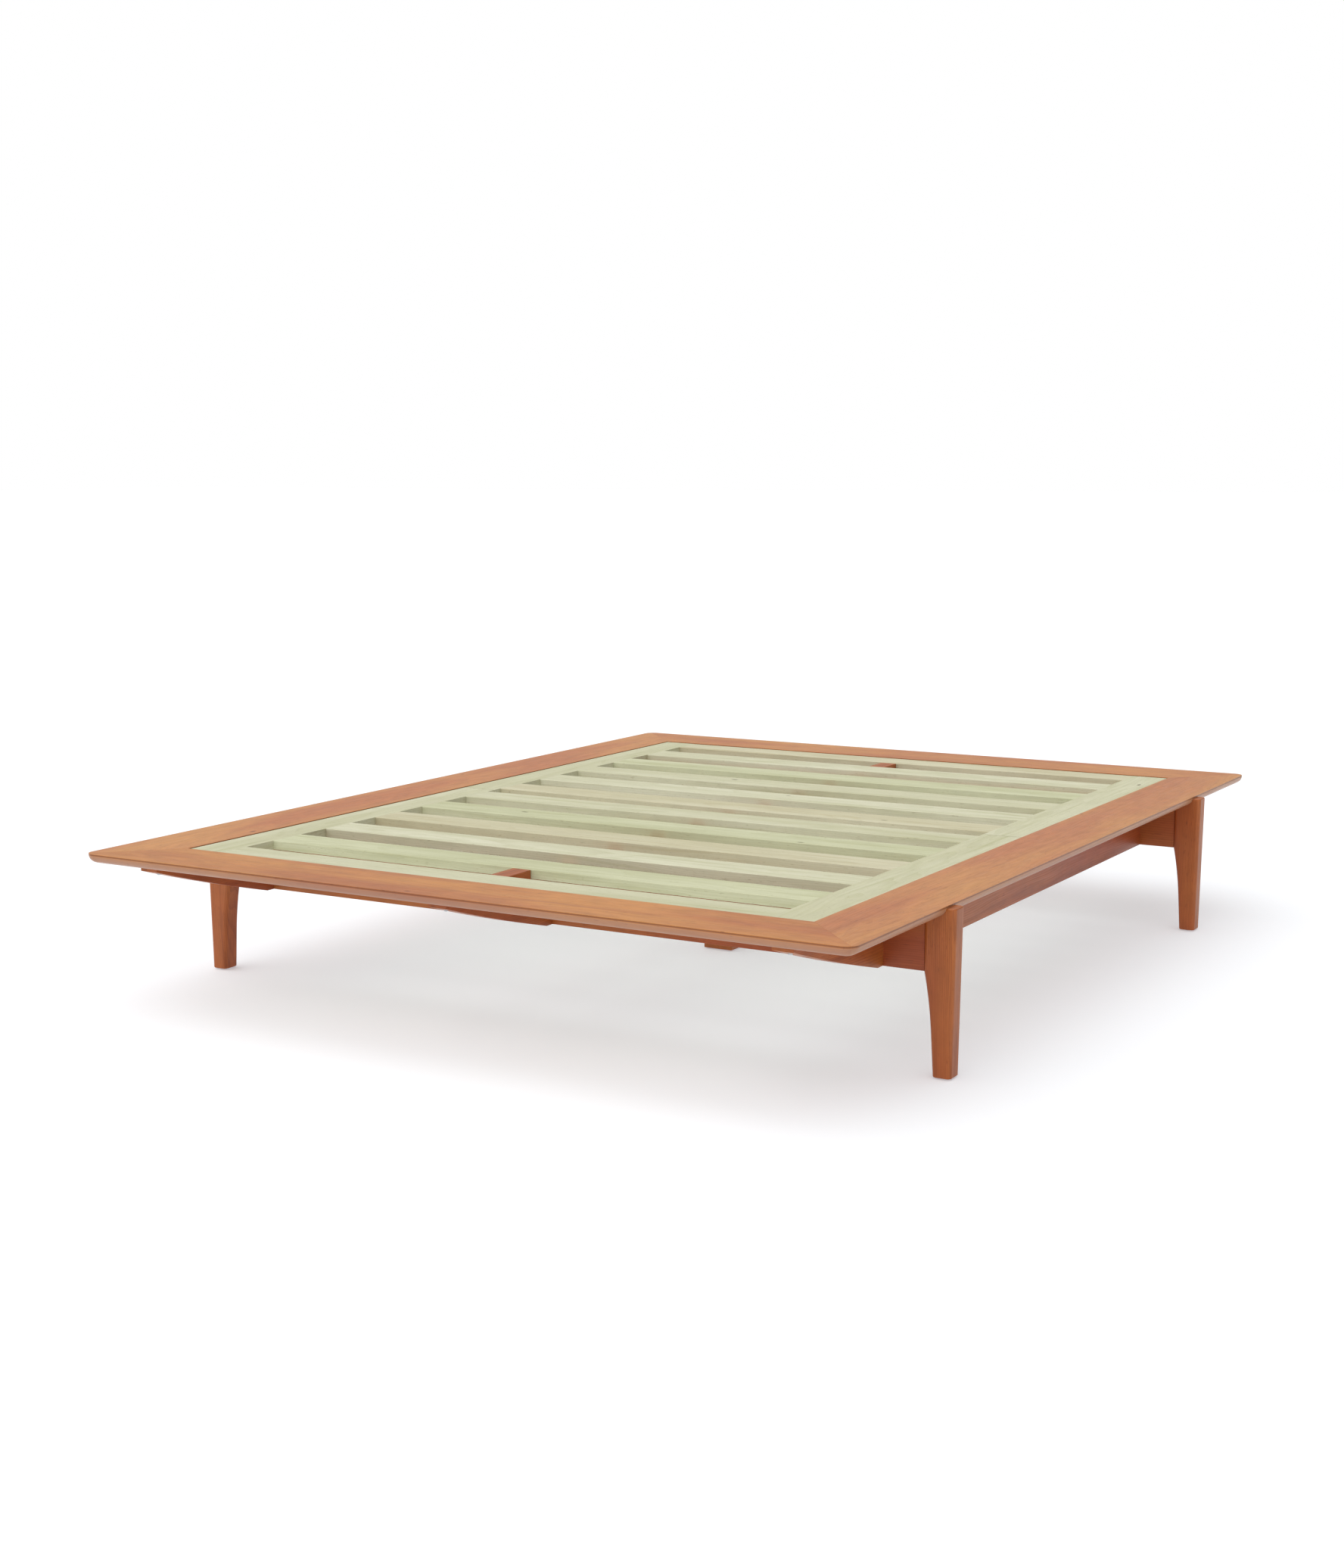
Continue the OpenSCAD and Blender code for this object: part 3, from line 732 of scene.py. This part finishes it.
def planed_slat(node):
    """A slat between the stiles, with a stub tenon at each end."""
    low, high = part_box(node)
    deck_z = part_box("foot_right_stile")[1].z
    low, high = Vector((-stile_inner, low.y, seat_z)), Vector((stile_inner, high.y, deck_z))
    bm = block(low, high)
    ease(bm, slat_arris, 3, lambda e: abs(e.verts[0].co.x - e.verts[1].co.x) > LONG)
    for face in [f for f in bm.faces if abs(f.normal.x) > 0.9]:
        side = math.copysign(1, face.normal.x)
        bmesh.ops.inset_region(bm, faces=[face], thickness=shoulder_cut, use_even_offset=True)
        tenon = bmesh.ops.extrude_discrete_faces(bm, faces=[face])["faces"][0]
        bmesh.ops.translate(bm, vec=(side * tenon_length, 0, 0), verts=tenon.verts)
    return bm


for number, node in enumerate(slat_nodes):
    tinted = dict(POPLAR, **SLAT_TINTS[number * 5 // 2 % len(SLAT_TINTS)])  # no two neighbours alike
    finish_piece(f"planed_{node}", planed_slat(node), timber_for(node, tinted, "planed poplar", "X"),
                 "poplar_deck", node)


# %% Stiles
def mortised_stile(node):
    """A stile with a mortise in its inner edge for each slat of its half."""
    low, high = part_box(node)
    side = math.copysign(1, low.x)
    inner = min(abs(low.x), abs(high.x))
    bm = block(low, high)
    ease(bm, stile_arris, 2, lambda e: all(abs(abs(v.co.x) - inner) > MM for v in e.verts))
    slats = [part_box(slat) for slat in slat_nodes]
    mine = [s for s in slats if low.y - MM < s[0].y and s[1].y < high.y + MM]
    for slat_low, slat_high in mine:
        for y in (slat_low.y, slat_high.y):
            geometry = list(bm.verts) + list(bm.edges) + list(bm.faces)
            bmesh.ops.bisect_plane(bm, geom=geometry, dist=1e-6, plane_co=(0, y, 0), plane_no=(0, 1, 0))
    for slat_low, slat_high in mine:
        middle = (slat_low.y + slat_high.y) / 2
        face = min((f for f in bm.faces if side * f.normal.x < -0.9),
                   key=lambda f: abs(f.calc_center_bounds().y - middle))
        bmesh.ops.inset_region(bm, faces=[face], thickness=shoulder_cut, use_even_offset=True)
        floor = bmesh.ops.extrude_discrete_faces(bm, faces=[face])["faces"][0]
        bmesh.ops.translate(bm, vec=(side * (tenon_length + mortise_room), 0, 0), verts=floor.verts)
    return bm


for node in stile_nodes:
    finish_piece(f"mortised_{node}", mortised_stile(node),
                 timber_for(node, POPLAR, "planed poplar", "Y"), "poplar_deck", node)

# %% [markdown]
# ## Glides
# A nail-on glide under each foot is a moulded nylon disc with a softly rounded rim, and its nail
# is hidden in the leg. The half section of both is spun once round.

# %% Moulded nylon
def moulded_nylon():
    """Milky nylon as it leaves the mould: even, slightly waxy, with a faint grain."""
    made = new_material("moulded nylon")
    here = add(made, "ShaderNodeTexCoord").outputs["Object"]
    grit = add(made, "ShaderNodeTexNoise", {"Vector": here, "Scale": 1000 / 0.8, "Detail": 1.0})
    tone = add(made, "ShaderNodeValToRGB", {0: grit.outputs["Fac"]},
               stops=[(0.3, colour("#CFCABD")), (0.7, colour("#DCD8CC"))])
    bump = add(made, "ShaderNodeBump",
               {"Height": grit.outputs["Fac"], "Strength": 0.1, "Distance": 0.05 * MM})
    rough = add(made, "ShaderNodeMapRange", {0: grit.outputs["Fac"], 3: 0.38, 4: 0.48})
    shader = add(made, "ShaderNodeBsdfPrincipled", {
        "Base Color": tone.outputs[0], "Roughness": rough.outputs[0], "Normal": bump.outputs[0],
        "IOR": 1.53, "Subsurface Weight": 0.1, "Subsurface Radius": (2 * MM, 2 * MM, 2 * MM)})
    add(made, "ShaderNodeOutputMaterial", {0: shader.outputs[0]})
    return made


# %% A spun section
def spun(section, steps=24, closed=False):
    """Spins (radius, height) pairs once round the Z axis; closed joins the last to the first."""
    bm = bmesh.new()
    verts = [bm.verts.new((radius, 0, height)) for radius, height in section]
    edges = [bm.edges.new(pair) for pair in zip(verts, verts[1:])]
    if closed:
        edges.append(bm.edges.new((verts[-1], verts[0])))
    bmesh.ops.spin(bm, geom=verts + edges, cent=(0, 0, 0), axis=(0, 0, 1), angle=2 * math.pi,
                   steps=steps, use_merge=True)
    bmesh.ops.remove_doubles(bm, verts=bm.verts, dist=0.001 * MM)
    return bm


# %% Copies set in place
def set_in(places, *parts):
    """One mesh with a copy of every part at every placing matrix."""
    bm = bmesh.new()
    for part in parts:
        bmesh.ops.recalc_face_normals(part, faces=part.faces)
        for place in places:
            mesh = bpy.data.meshes.new("copy")
            part.to_mesh(mesh)
            mesh.transform(place)
            bm.from_mesh(mesh)
            bpy.data.meshes.remove(mesh)
        part.free()
    return bm


# %% Glides
nylon = moulded_nylon()
nail_radius = 1.5 * MM


def glide_section(radius, thick, nail, top, rim=1.2 * MM):
    """Half of a disc with a rounded rim, and half of its nail."""
    section = [(0, 0), (radius - rim, 0)]
    section += [(radius - rim + rim * math.sin(a), rim - rim * math.cos(a))
                for a in (math.radians(t) for t in (30, 60, 90))]
    return section + [(radius, thick), (nail, thick), (nail, top - nail), (0, top)]


for node in ("leg_glides", "centre_leg_glide"):
    boxes = solids_of(node)
    places = [Matrix.Translation(((low.x + high.x) / 2, (low.y + high.y) / 2, 0)) for low, high in boxes]
    low, high = boxes[0]
    glide = spun(glide_section((high.x - low.x) / 2, leg_low.z, nail_radius, high.z), steps=32)
    finish_piece(f"moulded_{node}", set_in(places, glide), nylon, "nylon_glide", node)


# %% [markdown]
# ## Fasteners and dowels
# Steel bolts with cut threads, nuts and heads with their corners turned off, washers with eased
# rims, pan head screws with a cross recess, and fluted beech dowels. Each kind is made once and
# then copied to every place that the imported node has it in.

# %% Zinc-plated steel
def zinc_plated_steel():
    """Electroplated zinc: a bluish silver with a fine cloudy bloom."""
    made = new_material("zinc-plated steel")
    here = add(made, "ShaderNodeTexCoord").outputs["Object"]
    bloom = add(made, "ShaderNodeTexNoise", {"Vector": here, "Scale": 1000 / 6, "Detail": 4.0})
    tone = add(made, "ShaderNodeValToRGB", {0: bloom.outputs["Fac"]},
               stops=[(0.35, colour("#A9ACAE")), (0.65, colour("#C6C9CB"))])
    rough = add(made, "ShaderNodeMapRange", {0: bloom.outputs["Fac"], 3: 0.25, 4: 0.42})
    shader = add(made, "ShaderNodeBsdfPrincipled", {
        "Base Color": tone.outputs[0], "Metallic": 1.0, "Roughness": rough.outputs[0]})
    add(made, "ShaderNodeOutputMaterial", {0: shader.outputs[0]})
    return made


zinc = zinc_plated_steel()


# %% A bolt's rod
def threaded_rod(radius, low, high, thread_from, pitch):
    """A rod along Z, plain up to thread_from and then with thread ridges to a tapered end."""
    section = [(0, low), (radius, low)]
    ridges = int((high - thread_from) / pitch) - 1
    for ridge in range(ridges):
        height = thread_from + ridge * pitch
        section += [(radius, height), (radius - 0.55 * pitch, height + pitch / 2)]
    section += [(radius, thread_from + ridges * pitch), (radius - 0.6 * pitch, high), (0, high)]
    return spun(section)


# %% A hexagon
def hexagon(radius, low, high, bore=0.0):
    """A bolt's head, or with a bore a nut, its corners turned off at 30 degrees at both ends."""
    bm = bmesh.new()
    upright = Matrix.Translation((0, 0, (low + high) / 2)) @ Matrix.Rotation(math.pi / 2, 4, "Z")
    bmesh.ops.create_cone(bm, cap_ends=True, segments=6, radius1=radius, radius2=radius,
                          depth=high - low, matrix=upright)
    flat, reach = 0.84 * radius, radius + MM
    for end, out in ((low, -1), (high, 1)):
        slope = end - out * (reach - flat) * math.tan(math.radians(30))
        ring = [(flat, end), (flat, end + out * MM), (reach, end + out * MM), (reach, slope)]
        bm = carve(bm, spun(ring, steps=48, closed=True))
    if bore:
        bm = carve(bm, round_tool(0, 0, low - MM, high + MM, bore, 24))
    return bm


# %% A fluted dowel
def fluted_dowel(radius, length, flutes=16):
    """A dowel along Z with pressed flutes for the glue and chamfered ends."""
    chamfer, narrow, hollow = 1.5 * MM, 0.8, 0.94
    bm = bmesh.new()
    bmesh.ops.create_cone(bm, cap_ends=True, segments=2 * flutes, radius1=narrow * radius, radius2=radius,
                          depth=chamfer, matrix=Matrix.Translation((0, 0, (chamfer - length) / 2)))
    hollows = [v for v in bm.verts if round(math.atan2(v.co.y, v.co.x) * flutes / math.pi) % 2]
    bmesh.ops.scale(bm, vec=(hollow, hollow, 1), verts=hollows)
    end = max(bm.faces, key=lambda f: f.calc_center_median().z)
    for rise, grow in ((length - 2 * chamfer, 1), (chamfer, narrow)):
        end = bmesh.ops.extrude_discrete_faces(bm, faces=[end])["faces"][0]
        bmesh.ops.translate(bm, vec=(0, 0, rise), verts=end.verts)
        bmesh.ops.scale(bm, vec=(grow, grow, 1), verts=end.verts)
    return bm


# %% Where each mitre's parts lie
across_joint = Matrix.Rotation(math.pi / 2, 4, "Y")


def at_mitre(x, y, z):
    """A placing that turns Z to point square across the mitre nearest to (x, y)."""
    turn = Matrix.Rotation(-math.copysign(math.pi / 4, x * y), 4, "Z")
    return Matrix.Translation((x, y, z)) @ turn @ across_joint


draw_low, draw_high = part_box("mitre_draw_nuts")
draw_z = (draw_low.z + draw_high.z) / 2
mitre_x, mitre_y = (open_x + edge_x) / 2, (open_y + edge_y) / 2
mitres = [at_mitre(x * mitre_x, y * mitre_y, draw_z) for x in (-1, 1) for y in (-1, 1)]

# %% Draw bolts
draw_rod, draw_past_nut = 3 * MM, 6 * MM
draw_head, draw_head_thick = 5.5 * MM, 4 * MM
draw_nut, draw_nut_thick = 5.8 * MM, 5 * MM
washer_thick, washer_long, washer_wide = 3 * MM, 20 * MM, 12 * MM
nut_room, washer_room = 0.05 * MM, 0.2 * MM  # between a rod and the bore that it runs through

draw_bolt = threaded_rod(draw_rod, -pocket_reach - MM, pocket_reach + draw_past_nut, 8 * MM, 1.0 * MM)
draw_bolt_head = hexagon(draw_head, -pocket_reach - draw_head_thick, -pocket_reach)
finish_piece("threaded_mitre_draw_bolts", set_in(mitres, draw_bolt, draw_bolt_head), zinc, "zinc_steel",
             "mitre_draw_bolts")

nut = hexagon(draw_nut, pocket_reach, pocket_reach + draw_nut_thick, draw_rod + nut_room)
finish_piece("hexagon_mitre_draw_nuts", set_in(mitres, nut), zinc, "zinc_steel", "mitre_draw_nuts")

washers = []
for start in (-pocket_reach, pocket_reach - washer_thick):
    plate = ease(block((-washer_wide / 2, -washer_long / 2, start),
                       (washer_wide / 2, washer_long / 2, start + washer_thick)), 0.5 * MM)
    washers.append(carve(plate, round_tool(0, 0, start - MM, start + washer_thick + MM,
                                           draw_rod + washer_room, 24)))
finish_piece("pressed_mitre_draw_washers", set_in(mitres, *washers), zinc, "zinc_steel",
             "mitre_draw_washers")

# %% The centre leg's bolt
bolt_low, bolt_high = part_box("centre_leg_bolt")
nut_low, nut_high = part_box("centre_leg_nut")
round_low, round_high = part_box("centre_leg_washers")
leg_bolt = [Matrix.Translation((0, 0, (bolt_low.z + bolt_high.z) / 2)) @ across_joint]
bolt_rod, bolt_head, bolt_head_thick = 4 * MM, (bolt_high.z - bolt_low.z) / 2, 5 * MM
nut_radius = (nut_high.z - nut_low.z) / 2
thread_start = nut_low.x - 12 * MM

shank = threaded_rod(bolt_rod, bolt_low.x + MM, bolt_high.x, thread_start, 1.25 * MM)
head = hexagon(bolt_head, bolt_low.x, bolt_low.x + bolt_head_thick)
finish_piece("threaded_centre_leg_bolt", set_in(leg_bolt, shank, head), zinc, "zinc_steel",
             "centre_leg_bolt")
nut = hexagon(nut_radius, nut_low.x, nut_high.x, bolt_rod + nut_room)
finish_piece("hexagon_centre_leg_nut", set_in(leg_bolt, nut), zinc, "zinc_steel", "centre_leg_nut")

rim, hole, outer = 0.3 * MM, bolt_rod + washer_room, (round_high.z - round_low.z) / 2
round_thick = 1.6 * MM
discs = []
for start in (round_low.x, round_high.x - round_thick):
    end = start + round_thick
    discs.append(spun([(hole, start), (outer - rim, start), (outer, start + rim), (outer, end - rim),
                       (outer - rim, end), (hole, end)], steps=40, closed=True))
finish_piece("pressed_centre_leg_washers", set_in(leg_bolt, *discs), zinc, "zinc_steel",
             "centre_leg_washers")

# %% Screws
# Radii and heights are in millimetres, from the head's face up to the point.
screw_length = screws[0][1].z - screw_head_z
pan_head = [(0, 0), (3.4, 0), (4.3, 0.5), (4.8, 1.5), (4.8, 3.1), (4.5, 3.5), (2.0, 3.5), (2.0, 14)]
thread = [pair for turn in range(10) for pair in ((2.4, 15 + 2 * turn), (1.7, 16 + 2 * turn))]
section = [(radius * MM, height * MM) for radius, height in pan_head + thread + [(2.4, 35)]]
screw = spun(section + [(0, screw_length)], steps=20)
recess_reach, recess_half, recess_deep = 2.6 * MM, 0.5 * MM, 1.8 * MM
for x, y in ((recess_reach, recess_half), (recess_half, recess_reach)):
    screw = carve(screw, block((-x, -y, -MM), (x, y, recess_deep)))
middles = [(low + high) / 2 for low, high in screws]
driven = [Matrix.Translation((place.x, place.y, screw_head_z)) for place in middles]
finish_piece("pan_head_frame_screws", set_in(driven, screw), zinc, "zinc_steel", "frame_screws")

# %% Dowels
for node, grain in (("mitre_dowels", "X"), ("block_dowels", "Z")):
    boxes = solids_of(node)
    centres = [(low + high) / 2 for low, high in boxes]
    low, high = boxes[0]
    if node == "mitre_dowels":
        radius = (high.z - low.z) / 2
        length = (high.x - low.x - 2 * radius * math.sqrt(0.5)) * math.sqrt(2)
        places = [at_mitre(*centre) for centre in centres]
    else:
        radius, length = (high.x - low.x) / 2, high.z - low.z
        places = [Matrix.Translation(centre) for centre in centres]
    finish_piece(f"fluted_{node}", set_in(places, fluted_dowel(radius, length)),
                 timber_for(node, BEECH, "turned beech", grain), "beech_dowel", node)

# %% [markdown]
# ## Floor, light and camera
# A plain pale floor runs off to a white surround, which lights the bed evenly, as in a white cove.
# One very large soft lamp from above, at the front left, gives the legs a lighter and a darker side
# and the floor a shadow with no hard edge.

# %% Floor
def pale_floor():
    """Matt white paint with a little light of its own, so that the shadow stays pale."""
    made = new_material("pale studio floor")
    shader = add(made, "ShaderNodeBsdfPrincipled", {
        "Base Color": colour("#D4D4D4"), "Roughness": 0.9, "Specular IOR Level": 0.1,
        "Emission Color": colour("#F0F7FF"), "Emission Strength": 0.395})
    add(made, "ShaderNodeOutputMaterial", {0: shader.outputs[0]})
    return made


FLOOR_REACH = 60  # metres to each side
ground = bmesh.new()
bmesh.ops.create_grid(ground, x_segments=1, y_segments=1, size=FLOOR_REACH)
floor_mesh = bpy.data.meshes.new("studio_floor")
ground.to_mesh(floor_mesh)
ground.free()
floor_mesh.materials.append(pale_floor())
studio_floor = bpy.data.objects.new("studio_floor", floor_mesh)
bpy.context.scene.collection.objects.link(studio_floor)

# %% White surround
# It looks pure white but lights the bed with half that strength, so that the timber isn't bleached.
surround = bpy.data.worlds.new("white surround")
surround.use_nodes = True
sky = surround.node_tree
seen = sky.nodes.new("ShaderNodeLightPath").outputs["Is Camera Ray"]
level = sky.nodes.new("ShaderNodeMapRange")
level.inputs["To Min"].default_value = 0.50
level.inputs["To Max"].default_value = 1.0
sky.links.new(seen, level.inputs["Value"])
sky.links.new(level.outputs[0], sky.nodes["Background"].inputs["Strength"])
sky.nodes["Background"].inputs["Color"].default_value = colour("#FFFFFF")
bpy.context.scene.world = surround
bpy.context.scene.view_settings.view_transform = "Standard"

# %% Soft lamp
middle = (cad_low + cad_high) / 2


def aim(thing, target, roll=0.0):
    """Points a lamp or a camera at a target, turned by roll degrees about its own line of sight."""
    turn = (Vector(target) - thing.location).to_track_quat("-Z", "Y")
    thing.rotation_mode = "QUATERNION"
    thing.rotation_quaternion = turn @ Matrix.Rotation(math.radians(roll), 4, "Z").to_quaternion()


lamp = bpy.data.objects.new("soft overhead light", bpy.data.lights.new("soft overhead light", "SUN"))
lamp.data.energy = 2.4
lamp.data.angle = math.radians(100)  # a very wide source, for soft shadows
lamp.location = middle + Vector((-1.0, -1.2, 3.0))
aim(lamp, middle)
bpy.context.scene.collection.objects.link(lamp)

# %% Camera
# Low and off the foot's right-hand corner, so that the deck, three legs and the under-bevel all show.
camera = bpy.data.objects.new("camera", bpy.data.cameras.new("camera"))
camera.data.lens = 49.8
camera.data.sensor_width = 36
camera.location = (2.528, -4.479, 1.182)
aim(camera, (-0.893, 1.259, 0.170), -0.29)
bpy.context.scene.collection.objects.link(camera)
bpy.context.scene.camera = camera

# %% Count of the pieces made
print("pieces made:", len(pieces_made))
